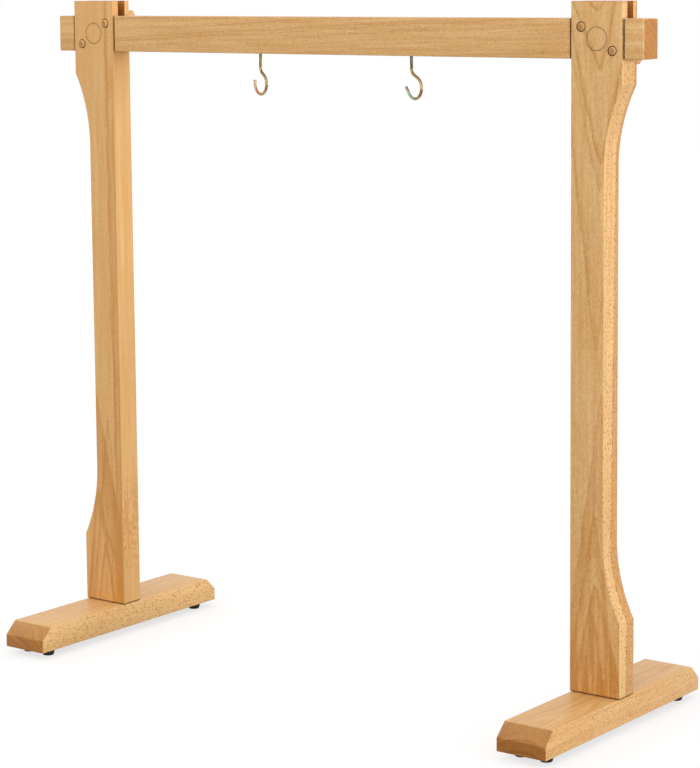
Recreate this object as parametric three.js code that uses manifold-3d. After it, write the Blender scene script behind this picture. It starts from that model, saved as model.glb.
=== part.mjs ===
// A gong stand in oiled beech. Each of two posts stands on a foot that runs front to back.
// The crossbar is let in from both faces and drops into an open slot at the top of each
// post, and a key with two dowels, pushed through from the back, locks each of the joints.
// Two screw hooks under the crossbar carry the gong.
// Millimetres. +X runs along the crossbar, +Y to the back and +Z up, and the origin is on
// the floor, midway between the posts.
import * as THREE from 'three';
import { mergeVertices } from 'three/addons/utils/BufferGeometryUtils.js';
import Module from 'manifold-3d';

const wasm = await Module();
wasm.setup();

// Posts
const clearWidth = 1040; // between the posts' inner faces
const postWidth = 100;
const postThickness = 48;
const postLength = 1194;
const postTopEase = 1.5;
const postFootEase = 3;
const waistDepth = 34; // how far the hollow in the outer edge is cut in
const waistRadius = 300;
const waistLowCorner = 133.5; // above the post's lower end
const waistHighCorner = 141; // below the post's upper end

// The slot at the top of a post, between a thick front cheek and a thinner back one
const frontCheek = 16.5;
const slotWidth = 19;

// Crossbar
const crossbarHeight = 68;
const crossbarThickness = 46.5;
const crossbarTopDrop = 29; // below the posts' upper ends
const stubLength = 41; // past the posts' outer faces
const tenonPlay = 0.4; // between the let-in part and each cheek
const shoulderGap = 3; // between a shoulder and the post beside it
const shoulderChamfer = 2;
const crossbarEndEase = 2.5;

// Keys that lock the crossbar
const pinDiameter = 14.5;
const pinHolePlay = 0.75;
const pinRun = 61; // between a key's two pins, across the post
const pinRise = 40; // and up it
const pinProud = 4; // past the post's front face, with the key pushed home
const pinChamfer = 2.5;
const keyBarLength = 120;
const keyBarWidth = 28;
const keyBarThickness = 20;
const keyBarEase = 1.5;
const rightKeyBackOff = 2; // the right key stands this far short of home

// Feet
const footLength = 514;
const footWidth = 98;
const footHeight = 47.5;
const footChamferRun = 25;
const footChamferDrop = 24;

// Rubber bumpers and their screws
const bumperHeight = 13;
const bumperFlangeDiameter = 28;
const bumperFlangeThickness = 3;
const bumperTopDiameter = 21;
const bumperSoleDiameter = 18.5;
const bumperRecessDepth = 6;
const bumperEndInset = 40; // from the foot's end to the bumper's middle
const bumperSideInset = 24; // and from the foot's side
const bumperScrewDiameter = 4;
const bumperScrewLength = 27;
const bumperScrewPoint = 5;
const bumperScrewHeadDiameter = 8;
const bumperScrewHeadHeight = 2.6;
const screwPlay = 0.4; // round a screw, its head and the pilot hole

// Bolts that hold a foot to its post
const boltSpacing = 56;
const boltDiameter = 8;
const boltLength = 55;
const boltTipChamfer = 1;
const boltHeadDiameter = 13;
const boltHeadHeight = 8;
const boltSocketAcross = 6;
const boltSocketDepth = 4;
const boltHolePlay = 0.5;
const counterboreDepth = 14;
const counterboreDiameter = 22;
const washerDiameter = 20;
const washerThickness = 1.6;
const insertDiameter = 12;
const insertLength = 20;
const insertEase = 0.8;
const boltTipRoom = 6; // above the bolt's tip or the insert, in the post

// Screw hooks
const hookSpacing = 345;
const wireDiameter = 5.5;
const hookBendRadius = 12.2;
const hookBowlRadius = 19.4;
const hookNeckLength = 6; // plain wire in the wood, below the thread
const hookThreadDiameter = 4.8;
const hookThreadLength = 34;
const hookThreadPoint = 7;
const hookHolePlay = 0.4;
const leftHookShank = 28.3; // from the crossbar down to the first bend
const rightHookShank = 25.2;
const leftHookTip = 4.1; // straight end past the bowl
const rightHookTip = 8.8;

const jointGap = 0.3; // between pieces that seat on each other
const overrun = 5; // how far a cut runs past the wood

const HOOKS = [
  { name: 'left_hook', side: -1, shank: leftHookShank, tip: leftHookTip, bendOut: 66, bowl: 252, turn: -16.7 },
  { name: 'right_hook', side: 1, shank: rightHookShank, tip: rightHookTip, bendOut: 83, bowl: 238, turn: -13 },
];
const SIDES = [
  { name: 'left', side: -1, keyBackOff: 0 },
  { name: 'right', side: 1, keyBackOff: rightKeyBackOff },
];

// Heights and depths that follow from the sizes above
const footBottom = bumperHeight + jointGap;
const postBottom = footBottom + footHeight + jointGap;
const crossbarBottom = postBottom + postLength - crossbarTopDrop - crossbarHeight;
const postCentre = (clearWidth + postWidth) / 2;
const slotFront = -postThickness / 2 + frontCheek;
const slotBack = slotFront + slotWidth;
const pinSpacing = Math.hypot(pinRun, pinRise);
const pinLength = pinProud + postThickness + jointGap + keyBarThickness;
const washerLow = footBottom + counterboreDepth - jointGap - washerThickness;
const boltSeat = washerLow - jointGap;
const insertLow = postBottom + jointGap;
const boltPocketTop = Math.max(insertLow + insertLength, boltSeat + boltLength) + boltTipRoom;
const crossbarLength = clearWidth + 2 * postWidth + 2 * stubLength;

const ROUND_SIDES = 24;
const SMALL_SIDES = 16;
const WIRE_SIDES = 12;
const WIRE_STEPS = 64;
const WAIST_STEPS = 16;

const FINISHES = {
  beech: { color: 0xd2a36c, roughness: 0.55, metalness: 0 },
  dowel: { color: 0xc08f5c, roughness: 0.6, metalness: 0 },
  rubber: { color: 0x111112, roughness: 0.8, metalness: 0 },
  yellowZinc: { color: 0xb79a55, roughness: 0.35, metalness: 1 },
  steel: { color: 0xb4b6b8, roughness: 0.35, metalness: 1 },
  brass: { color: 0xb9954f, roughness: 0.4, metalness: 1 },
};

// Adds a geometry to a group as a named mesh with a finish of its own.
function addPiece(group, name, finish, geometry, x = 0, y = 0, z = 0) {
  const mesh = new THREE.Mesh(geometry, new THREE.MeshStandardMaterial(FINISHES[finish]));
  mesh.name = name;
  mesh.position.set(x, y, z);
  group.add(mesh);
  return mesh;
}

function toSolid(geometry) {
  const bare = geometry.clone();
  bare.deleteAttribute('normal');
  bare.deleteAttribute('uv');
  const merged = mergeVertices(bare);
  const vertProperties = new Float32Array(merged.attributes.position.array);
  const triVerts = new Uint32Array(merged.index.array);
  return new wasm.Manifold(new wasm.Mesh({ numProp: 3, vertProperties, triVerts }));
}

function toGeometry(solid) {
  const mesh = solid.getMesh();
  const geometry = new THREE.BufferGeometry();
  geometry.setAttribute('position', new THREE.BufferAttribute(mesh.vertProperties, 3));
  geometry.setIndex(new THREE.BufferAttribute(mesh.triVerts, 1));
  geometry.computeVertexNormals();
  return geometry;
}

function cutFrom(geometry, cutters) {
  let solid = toSolid(geometry);
  for (const cutter of cutters) solid = solid.subtract(toSolid(cutter));
  return toGeometry(solid);
}

function shared(first, second) {
  return toGeometry(toSolid(first).intersect(toSolid(second)));
}

// Extrudes an outline drawn in X and Z by a depth along Y, centred on Y = 0.
function extrudeAlongY(outline, depth, holes = []) {
  const shape = new THREE.Shape(outline.map(([x, z]) => new THREE.Vector2(x, z)));
  shape.holes = holes;
  const geometry = new THREE.ExtrudeGeometry(shape, {
    depth,
    bevelEnabled: false,
    curveSegments: ROUND_SIDES / 2,
  });
  return geometry.rotateX(Math.PI / 2).translate(0, depth / 2, 0);
}

// Extrudes an outline drawn in Y and Z by a depth along X, centred on X = 0.
function extrudeAlongX(outline, depth) {
  return extrudeAlongY(outline, depth).rotateZ(Math.PI / 2);
}

// Turns a profile of radii and heights about the Z axis.
function turned(profile, sides) {
  const points = profile.map(([radius, height]) => new THREE.Vector2(radius, height));
  return new THREE.LatheGeometry(points, sides).rotateX(Math.PI / 2);
}

function rodAlongY(radius, length, x, z) {
  return new THREE.CylinderGeometry(radius, radius, length, ROUND_SIDES).translate(x, 0, z);
}

function rodAlongZ(radius, low, high, x = 0, y = 0) {
  const rod = new THREE.CylinderGeometry(radius, radius, high - low, SMALL_SIDES);
  return rod.rotateX(Math.PI / 2).translate(x, y, (low + high) / 2);
}

// An upright rectangle that stands on Z = 0, with its lower and upper corners cut off.
function easedRectangle(width, height, lowEase, highEase) {
  const half = width / 2;
  return [
    [-half + lowEase, 0],
    [half - lowEase, 0],
    [half, lowEase],
    [half, height - highEase],
    [half - highEase, height],
    [-half + highEase, height],
    [-half, height - highEase],
    [-half, lowEase],
  ];
}

// Where a key's two pins pass a post, from the post's middle line and the crossbar's
// mid height. The inner pin is the higher one.
function pinPlaces(side) {
  return [
    [(-side * pinRun) / 2, pinRise / 2],
    [(side * pinRun) / 2, -pinRise / 2],
  ];
}

// The hollow in a post's outer edge, from its low corner to its high one: an arc into the
// straight neck and an arc out of it, each as a distance from the middle line and a height.
function waistCurve() {
  const edge = postWidth / 2;
  const arcHeight = Math.sqrt(2 * waistRadius * waistDepth - waistDepth ** 2);
  const arcAngle = Math.asin(arcHeight / waistRadius);
  const centre = edge - waistDepth + waistRadius;
  const lowTangent = waistLowCorner + arcHeight;
  const highTangent = postLength - waistHighCorner - arcHeight;
  const points = [];
  for (let step = 0; step <= WAIST_STEPS; step++) {
    const angle = arcAngle * (1 - step / WAIST_STEPS);
    points.push([centre - waistRadius * Math.cos(angle), lowTangent - waistRadius * Math.sin(angle)]);
  }
  for (let step = 0; step <= WAIST_STEPS; step++) {
    const angle = (arcAngle * step) / WAIST_STEPS;
    points.push([centre - waistRadius * Math.cos(angle), highTangent + waistRadius * Math.sin(angle)]);
  }
  return points;
}

// A post stands on Z = 0 here, with its hollow edge to the outside of the stand.
function postGeometry(side) {
  const [lowLeft, lowRight, rightLow, rightHigh, highRight, highLeft, leftHigh, leftLow] =
    easedRectangle(postWidth, postLength, postFootEase, postTopEase);
  const outline = [
    lowLeft, lowRight, rightLow, ...waistCurve(), rightHigh, highRight, highLeft, leftHigh, leftLow,
  ];
  const front = extrudeAlongY(outline.map(([x, z]) => [side * x, z]), postThickness);
  const sideOutline = easedRectangle(postThickness, postLength, postFootEase, postTopEase);
  const blank = shared(front, extrudeAlongX(sideOutline, postWidth + 2 * overrun));

  const slotFloor = crossbarBottom - postBottom - jointGap;
  const slotDepth = postLength - slotFloor + overrun;
  const slot = new THREE.BoxGeometry(postWidth + 2 * overrun, slotWidth, slotDepth);
  slot.translate(0, (slotFront + slotBack) / 2, slotFloor + slotDepth / 2);

  const holeRadius = pinDiameter / 2 + pinHolePlay;
  const holeLength = postThickness + 2 * overrun;
  const middle = crossbarBottom - postBottom + crossbarHeight / 2;
  const pinHoles = pinPlaces(side).map(([x, z]) => rodAlongY(holeRadius, holeLength, x, middle + z));

  const pocketRadius = insertDiameter / 2 + jointGap;
  const pockets = [-1, 1].map((end) =>
    rodAlongZ(pocketRadius, -overrun, boltPocketTop - postBottom, (end * boltSpacing) / 2));
  return cutFrom(blank, [slot, ...pinHoles, ...pockets]);
}

// A foot stands on Z = 0 here.
function footGeometry() {
  const half = footLength / 2;
  const outline = [
    [-half, 0],
    [half, 0],
    [half, footHeight - footChamferDrop],
    [half - footChamferRun, footHeight],
    [-half + footChamferRun, footHeight],
    [-half, footHeight - footChamferDrop],
  ];
  const cutters = [];
  for (const end of [-1, 1]) {
    const x = (end * boltSpacing) / 2;
    cutters.push(rodAlongZ(boltDiameter / 2 + boltHolePlay, -overrun, footHeight + overrun, x));
    cutters.push(rodAlongZ(counterboreDiameter / 2, -overrun, counterboreDepth, x));
  }
  const pilotTop = bumperScrewLength - bumperHeight + bumperRecessDepth + screwPlay;
  for (const { x, y } of bumperPlaces()) {
    cutters.push(rodAlongZ(bumperScrewDiameter / 2 + screwPlay, -overrun, pilotTop, x, y));
  }
  return cutFrom(extrudeAlongX(outline, footWidth), cutters);
}

function bumperPlaces() {
  const places = [];
  for (const [depth, back] of [['front', -1], ['back', 1]]) {
    for (const across of [-1, 1]) {
      const x = across * (footWidth / 2 - bumperSideInset);
      const y = back * (footLength / 2 - bumperEndInset);
      places.push({ depth, across, x, y });
    }
  }
  return places;
}

function bumperGeometry() {
  const holeRadius = bumperScrewDiameter / 2 + screwPlay;
  const recessRadius = bumperScrewHeadDiameter / 2 + screwPlay;
  const flangeRadius = bumperFlangeDiameter / 2;
  const flangeLow = bumperHeight - bumperFlangeThickness;
  return turned([
    [recessRadius, 0],
    [bumperSoleDiameter / 2, 0],
    [bumperTopDiameter / 2, flangeLow],
    [flangeRadius, flangeLow + bumperFlangeThickness / 2],
    [flangeRadius, bumperHeight],
    [holeRadius, bumperHeight],
    [holeRadius, bumperRecessDepth],
    [recessRadius, bumperRecessDepth],
    [recessRadius, 0],
  ], ROUND_SIDES);
}

// A pan-head screw, point up, with the seat of its head on Z = 0.
function bumperScrewGeometry() {
  const shankRadius = bumperScrewDiameter / 2;
  const headRadius = bumperScrewHeadDiameter / 2;
  return turned([
    [0, -bumperScrewHeadHeight],
    [headRadius / 2, -bumperScrewHeadHeight],
    [headRadius, -bumperScrewHeadHeight / 2],
    [headRadius, 0],
    [shankRadius, 0],
    [shankRadius, bumperScrewLength - bumperScrewPoint],
    [0, bumperScrewLength],
  ], SMALL_SIDES);
}

// A socket-head bolt, tip up, with the seat of its head on Z = 0.
function boltGeometry() {
  const radius = boltDiameter / 2;
  const headRadius = boltHeadDiameter / 2;
  const blank = turned([
    [0, -boltHeadHeight],
    [headRadius - boltTipChamfer, -boltHeadHeight],
    [headRadius, -boltHeadHeight + boltTipChamfer],
    [headRadius, 0],
    [radius, 0],
    [radius, boltLength - boltTipChamfer],
    [radius - boltTipChamfer, boltLength],
    [0, boltLength],
  ], SMALL_SIDES);
  const socketRadius = boltSocketAcross / Math.sqrt(3);
  const socket = new THREE.CylinderGeometry(socketRadius, socketRadius, 2 * boltSocketDepth, 6);
  return cutFrom(blank, [socket.rotateX(Math.PI / 2).translate(0, 0, -boltHeadHeight)]);
}

function washerGeometry() {
  const hole = boltDiameter / 2 + jointGap;
  const rim = washerDiameter / 2;
  return turned([[hole, 0], [rim, 0], [rim, washerThickness], [hole, washerThickness], [hole, 0]], SMALL_SIDES);
}

// A threaded insert, mouth down on Z = 0, with its two outer corners eased.
function insertGeometry() {
  const hole = boltDiameter / 2 + jointGap;
  const rim = insertDiameter / 2;
  return turned([
    [hole, 0],
    [rim - insertEase, 0],
    [rim, insertEase],
    [rim, insertLength - insertEase],
    [rim - insertEase, insertLength],
    [hole, insertLength],
    [hole, 0],
  ], SMALL_SIDES);
}

// One long face of the crossbar in plan, from its left end to its right one: back is -1 for
// the front face and 1 for the back one, and tenon is that face of the let-in part.
function crossbarFace(back, tenon) {
  const face = (back * crossbarThickness) / 2;
  const shoulder = face - back * shoulderChamfer;
  const corner = face - back * crossbarEndEase;
  const end = crossbarLength / 2;
  const outer = clearWidth / 2 + postWidth + shoulderGap;
  const inner = clearWidth / 2 - shoulderGap;
  const rightHalf = [
    [inner - shoulderChamfer, face],
    [inner, shoulder],
    [inner, tenon],
    [outer, tenon],
    [outer, shoulder],
    [outer + shoulderChamfer, face],
    [end - crossbarEndEase, face],
    [end, corner],
  ];
  const leftHalf = rightHalf.map(([x, y]) => [-x, y]).reverse();
  return [...leftHalf, ...rightHalf];
}

// The crossbar lies on Z = 0 here.
function crossbarGeometry() {
  const front = crossbarFace(-1, slotFront + tenonPlay);
  const back = crossbarFace(1, slotBack - tenonPlay);
  const plan = new THREE.Shape([...front, ...back.reverse()].map(([x, y]) => new THREE.Vector2(x, y)));
  const planSolid = new THREE.ExtrudeGeometry(plan, { depth: crossbarHeight, bevelEnabled: false });
  const elevation = easedRectangle(crossbarLength, crossbarHeight, crossbarEndEase, crossbarEndEase);
  const blank = shared(planSolid, extrudeAlongY(elevation, crossbarThickness + 2 * overrun));

  const holeRadius = pinDiameter / 2 + pinHolePlay;
  const cutters = [];
  for (const { side } of SIDES) {
    for (const [x, z] of pinPlaces(side)) {
      const middle = crossbarHeight / 2;
      const length = crossbarThickness + 2 * overrun;
      cutters.push(rodAlongY(holeRadius, length, side * postCentre + x, middle + z));
    }
  }
  const pilotRadius = wireDiameter / 2 + hookHolePlay;
  const pilotDepth = hookNeckLength + hookThreadLength + hookHolePlay;
  for (const { side } of HOOKS) {
    cutters.push(rodAlongZ(pilotRadius, -overrun, pilotDepth, (side * hookSpacing) / 2));
  }
  return cutFrom(blank, cutters);
}

function circleHole(x, z, radius) {
  const hole = new THREE.Path();
  hole.absarc(x, z, radius, 0, 2 * Math.PI);
  return hole;
}

// The bar of a key, with a hole at each end for its pins. It lies along X, and its front
// face is on Y = 0.
function keyBarGeometry() {
  const outline = easedRectangle(keyBarLength, keyBarWidth, keyBarEase, keyBarEase);
  const centred = outline.map(([x, z]) => [x, z - keyBarWidth / 2]);
  const holeRadius = pinDiameter / 2 + jointGap;
  const holes = [-1, 1].map((end) => circleHole((end * pinSpacing) / 2, 0, holeRadius));
  return extrudeAlongY(centred, keyBarThickness, holes).translate(0, keyBarThickness / 2, 0);
}

// A pin lies along Y, from its front end on Y = 0 to the back of the key's bar.
function keyPinGeometry() {
  const radius = pinDiameter / 2;
  const pin = turned([
    [0, 0],
    [radius - pinChamfer, 0],
    [radius, pinChamfer],
    [radius, pinLength],
    [0, pinLength],
  ], ROUND_SIDES);
  return pin.rotateX(-Math.PI / 2);
}

// An arc in the X-Z plane, from a start angle through a sweep.
class UprightArc extends THREE.Curve {
  constructor(centre, radius, start, sweep) {
    super();
    Object.assign(this, { centre, radius, start, sweep });
  }

  getPoint(share, target = new THREE.Vector3()) {
    const angle = this.start + share * this.sweep;
    const [x, z] = this.centre;
    return target.set(x + this.radius * Math.cos(angle), 0, z + this.radius * Math.sin(angle));
  }
}

// A hook hangs from Z = 0, the crossbar's underside: a straight shank, a bend outwards, the
// bowl round the other way and a short straight end, with the thread in the wood above.
function hookGeometry({ shank, tip, bendOut, bowl }) {
  const bend = THREE.MathUtils.degToRad(bendOut);
  const sweep = THREE.MathUtils.degToRad(bowl);
  const bendCentre = [hookBendRadius, -shank];
  const bendEnd = [
    bendCentre[0] - hookBendRadius * Math.cos(bend),
    bendCentre[1] - hookBendRadius * Math.sin(bend),
  ];
  const bowlCentre = [
    bendEnd[0] - hookBowlRadius * Math.cos(bend),
    bendEnd[1] - hookBowlRadius * Math.sin(bend),
  ];
  const path = new THREE.CurvePath();
  path.add(new THREE.LineCurve3(new THREE.Vector3(0, 0, hookNeckLength), new THREE.Vector3(0, 0, -shank)));
  path.add(new UprightArc(bendCentre, hookBendRadius, Math.PI, bend));
  path.add(new UprightArc(bowlCentre, hookBowlRadius, bend, -sweep));
  const bowlEnd = path.curves[2].getPoint(1);
  const onward = bend - sweep - Math.PI / 2;
  const tipEnd = new THREE.Vector3(Math.cos(onward), 0, Math.sin(onward)).multiplyScalar(tip).add(bowlEnd);
  path.add(new THREE.LineCurve3(bowlEnd, tipEnd));

  const section = new THREE.Shape();
  section.absarc(0, 0, wireDiameter / 2, 0, 2 * Math.PI);
  const wire = new THREE.ExtrudeGeometry(section, {
    steps: WIRE_STEPS,
    curveSegments: WIRE_SIDES / 2,
    extrudePath: path,
  });
  const threadRadius = hookThreadDiameter / 2;
  const threadTop = hookNeckLength + hookThreadLength;
  const thread = turned([
    [0, 0],
    [threadRadius, 0],
    [threadRadius, threadTop - hookThreadPoint],
    [0, threadTop],
  ], SMALL_SIDES);
  return toGeometry(toSolid(wire).add(toSolid(thread)));
}

function addFoot(stand, name, side) {
  const group = new THREE.Group();
  group.position.x = side * postCentre;
  stand.add(group);
  addPiece(group, `${name}_foot`, 'beech', footGeometry(), 0, 0, footBottom);
  for (const { depth, across, x, y } of bumperPlaces()) {
    const place = `${depth}_${across === side ? 'outer' : 'inner'}`;
    addPiece(group, `${name}_bumper_${place}`, 'rubber', bumperGeometry(), x, y);
    const screwSeat = bumperRecessDepth - jointGap;
    addPiece(group, `${name}_bumper_screw_${place}`, 'steel', bumperScrewGeometry(), x, y, screwSeat);
  }
}

function addPost(stand, name, side) {
  const group = new THREE.Group();
  group.position.x = side * postCentre;
  stand.add(group);
  addPiece(group, `${name}_post`, 'beech', postGeometry(side), 0, 0, postBottom);
  for (const across of [-1, 1]) {
    const place = across === side ? 'outer' : 'inner';
    const x = (across * boltSpacing) / 2;
    addPiece(group, `${name}_bolt_${place}`, 'steel', boltGeometry(), x, 0, boltSeat);
    addPiece(group, `${name}_washer_${place}`, 'steel', washerGeometry(), x, 0, washerLow);
    addPiece(group, `${name}_insert_${place}`, 'brass', insertGeometry(), x, 0, insertLow);
  }
}

function addKey(stand, name, side, backOff) {
  const key = new THREE.Group();
  const barFront = postThickness / 2 + jointGap + backOff;
  key.position.set(side * postCentre, barFront, crossbarBottom + crossbarHeight / 2);
  key.rotation.y = side * Math.atan2(pinRise, pinRun);
  stand.add(key);
  addPiece(key, `${name}_key_bar`, 'beech', keyBarGeometry());
  const pinFront = keyBarThickness - pinLength;
  for (const end of [-1, 1]) {
    const place = end === side ? 'outer' : 'inner';
    addPiece(key, `${name}_key_pin_${place}`, 'dowel', keyPinGeometry(), (end * pinSpacing) / 2, pinFront);
  }
}

const gongStand = new THREE.Group();
for (const { name, side, keyBackOff } of SIDES) {
  addFoot(gongStand, name, side);
  addPost(gongStand, name, side);
  addKey(gongStand, name, side, keyBackOff);
}
addPiece(gongStand, 'crossbar', 'beech', crossbarGeometry(), 0, 0, crossbarBottom);
for (const hook of HOOKS) {
  const x = (hook.side * hookSpacing) / 2;
  const mesh = addPiece(gongStand, hook.name, 'yellowZinc', hookGeometry(hook), x, 0, crossbarBottom);
  mesh.rotation.z = THREE.MathUtils.degToRad(hook.turn);
}

export default gongStand;
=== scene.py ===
# A gong stand in oiled beech, dressed piece by piece in the order it is put together.
# Sizes are in millimetres times MM, so that they read as a joiner would mark them.
import math

import bpy
from mathutils import Matrix, Vector


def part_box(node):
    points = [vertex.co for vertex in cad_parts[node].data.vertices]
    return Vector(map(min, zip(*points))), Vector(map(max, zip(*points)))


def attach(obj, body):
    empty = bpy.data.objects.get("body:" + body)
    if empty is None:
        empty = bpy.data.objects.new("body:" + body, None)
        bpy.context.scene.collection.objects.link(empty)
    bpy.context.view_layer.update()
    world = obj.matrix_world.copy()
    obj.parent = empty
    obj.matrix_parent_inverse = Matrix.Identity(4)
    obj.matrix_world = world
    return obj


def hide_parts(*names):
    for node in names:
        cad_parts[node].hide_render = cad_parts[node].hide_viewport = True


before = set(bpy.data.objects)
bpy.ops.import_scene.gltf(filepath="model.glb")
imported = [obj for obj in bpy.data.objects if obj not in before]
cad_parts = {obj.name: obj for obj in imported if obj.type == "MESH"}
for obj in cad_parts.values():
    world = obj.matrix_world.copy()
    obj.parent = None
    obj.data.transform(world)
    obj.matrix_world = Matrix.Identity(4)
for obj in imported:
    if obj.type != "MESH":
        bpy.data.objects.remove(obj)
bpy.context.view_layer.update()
MM = 0.001

# The view: a long lens some 5 cm over the posts' tops and 4.6 m away, on the stand's right.
# It looks down by 7 degrees, and a small shift keeps the tops just inside the picture.
camera_place = Vector((2763, -3628, 1308)) * MM
camera_yaw, camera_pitch, camera_roll = (math.radians(a) for a in (36.98, 7.14, -0.51))
camera_data = bpy.data.cameras.new("view")
camera_data.lens = 117.1
camera_data.shift_y = -0.13
camera = bpy.data.objects.new("view", camera_data)
bpy.context.scene.collection.objects.link(camera)
camera_turn = Matrix.Rotation(camera_yaw, 4, "Z")
camera_turn = camera_turn @ Matrix.Rotation(math.pi / 2 - camera_pitch, 4, "X")
camera.matrix_world = (
    Matrix.Translation(camera_place) @ camera_turn @ Matrix.Rotation(camera_roll, 4, "Z")
)
bpy.context.scene.camera = camera
bpy.context.scene.view_settings.view_transform = "Standard"


# The studio: a white sweep lit all round, with a broad lamp on the right and a softer one
# in front. The floor and the sky show white, while what they throw on the wood is plain.
class Value:
    """A shader value or colour. A sum on it adds the Math node that works it out."""

    def __init__(self, finish, socket):
        self.finish, self.socket = finish, socket

    def math(self, operation, *others):
        """A Math node on this value and others."""
        return self.finish.node("Math", {"operation": operation}, dict(enumerate((self, *others))))

    def __add__(self, other):
        return self.math("ADD", other)

    def __sub__(self, other):
        return self.math("SUBTRACT", other)

    def __mul__(self, other):
        return self.math("MULTIPLY", other)

    def __truediv__(self, other):
        return self.math("DIVIDE", other)

    def __rsub__(self, other):
        return self.finish.node("Math", {"operation": "SUBTRACT"}, {0: other, 1: self})

    __radd__, __rmul__ = __add__, __mul__

    def within(self):
        """Held between 0 and 1."""
        return self.finish.node("Clamp", None, {"Value": self})

    def output(self, name):
        """Another output of the node that this value comes from."""
        return Value(self.finish, self.socket.node.outputs[name])

    def between(self, low, high):
        """0 up to low and 1 from high on, with a soft step between them. high may be the lower."""
        settings = {"interpolation_type": "SMOOTHSTEP"}
        ends = {"Value": self, "From Min": low, "From Max": high}
        return self.finish.node("MapRange", settings, ends)


class Finish:
    """A material, or the world, under construction."""

    def __init__(self, owner):
        owner.use_nodes = True
        self.owner, self.nodes, self.links = owner, owner.node_tree.nodes, owner.node_tree.links
        self.shader = self.nodes.get("Principled BSDF")

    def node(self, kind, settings=None, inputs=None, output=0):
        """Adds a shader node, its settings first and then the values or links of its sockets."""
        made = self.nodes.new("ShaderNode" + kind)
        for name, setting in (settings or {}).items():
            setattr(made, name, setting)
        for name, value in (inputs or {}).items():
            self.feed(made.inputs[name], value)
        return Value(self, made.outputs[output])

    def feed(self, socket, value):
        """Links a value to a socket, or sets the number or colour on it."""
        if isinstance(value, Value):
            self.links.new(value.socket, socket)
        else:
            socket.default_value = value

    def colour(self, share, low, high):
        """The colour low at share 0 and high at share 1."""
        return self.node("Mix", {"data_type": "RGBA"}, {0: share, 6: low, 7: high}, output=2)

    def shade(self, **sockets):
        """Feeds the main shader's sockets, whose names have a space for each underscore."""
        for name, value in sockets.items():
            self.feed(self.shader.inputs[name.replace("_", " ")], value)


def seen_directly(finish):
    """1 for what the camera sees, itself or in a gloss, and 0 for light that falls on things."""
    seen = finish.node("LightPath", output="Is Camera Ray")
    seen = seen + finish.node("LightPath", output="Is Glossy Ray")
    seen = seen + finish.node("LightPath", output="Is Transmission Ray")
    return seen.math("MINIMUM", 1.0)


world = bpy.data.worlds.new("sky")
bpy.context.scene.world = world
sky = Finish(world)
SKY_LIGHT = 0.93
sky_strength = SKY_LIGHT + seen_directly(sky) * (1 - SKY_LIGHT)
sky.feed(sky.nodes["Background"].inputs["Color"], (1, 1, 1, 1))
sky.feed(sky.nodes["Background"].inputs["Strength"], sky_strength)

# Each lamp has a strength, a spread in degrees and the side that it shines from.
LAMPS = {"lamp": (1.88, 16, (0.97, 0.05, 0.02)), "fill": (1.0, 70, (0.12, -0.98, 0.12))}
for name, (strength, spread, side) in LAMPS.items():
    lamp_data = bpy.data.lights.new(name, "SUN")
    lamp_data.energy = strength
    lamp_data.angle = math.radians(spread)
    lamp = bpy.data.objects.new(name, lamp_data)
    lamp.rotation_mode = "QUATERNION"
    lamp.rotation_quaternion = Vector(side).to_track_quat("Z", "Y")
    bpy.context.scene.collection.objects.link(lamp)

FLOOR_SIDE = 24000 * MM
bpy.ops.mesh.primitive_plane_add(size=FLOOR_SIDE, location=(0, 0, 0))
floor = bpy.context.object
floor.name = "floor"
floor_paint = Finish(bpy.data.materials.new("floor_paint"))
floor_seen = seen_directly(floor_paint)
floor_paint.shade(
    Base_Color=floor_paint.colour(floor_seen, (0.28, 0.28, 0.28, 1), (0.32, 0.32, 0.32, 1)),
    Roughness=1.0,
    Specular_IOR_Level=0.0,
    Emission_Color=floor_paint.colour(floor_seen, (0, 0, 0, 1), (0.7, 0.7, 0.7, 1)),
    Emission_Strength=1.0,
)
floor.data.materials.append(floor_paint.owner)


# Feet: beech boards that lie front to back, sawn off aslant at both upper ends, with all
# their edges rounded over. Bolts come up through them, and bumpers are screwed on below.
def pick(piece):
    """Makes a piece the only one selected, and the active one."""
    bpy.ops.object.select_all(action="DESELECT")
    piece.select_set(True)
    bpy.context.view_layer.objects.active = piece


def settle(piece):
    """Puts a piece's place, turn and size into its mesh."""
    pick(piece)
    bpy.ops.object.transform_apply(location=True, rotation=True, scale=True)
    return piece


def block(name, low, high):
    """A squared block between two corners."""
    low, high = Vector(low), Vector(high)
    bpy.ops.mesh.primitive_cube_add(size=1, location=(low + high) / 2, scale=high - low)
    bpy.context.object.name = name
    return settle(bpy.context.object)


def rod(name, low, high, radius, sides=48):
    """A round rod between two points."""
    low, high = Vector(low), Vector(high)
    bpy.ops.mesh.primitive_cylinder_add(
        vertices=sides, radius=radius, depth=(high - low).length, location=(low + high) / 2,
        rotation=(high - low).to_track_quat("Z", "Y").to_euler(),
    )
    bpy.context.object.name = name
    return settle(bpy.context.object)


def finish_modifier(piece, kind, **settings):
    """Adds a modifier and applies it."""
    pick(piece)
    modifier = piece.modifiers.new(kind.lower(), kind)
    for name, setting in settings.items():
        setattr(modifier, name, setting)
    bpy.ops.object.modifier_apply(modifier=modifier.name)


def cut(piece, cutter, operation="DIFFERENCE"):
    """Cuts a piece with another, or joins them, and throws the other away."""
    finish_modifier(piece, "BOOLEAN", object=cutter, operation=operation, solver="EXACT")
    bpy.data.objects.remove(cutter)


SHARP_CORNER = math.radians(20)


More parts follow.
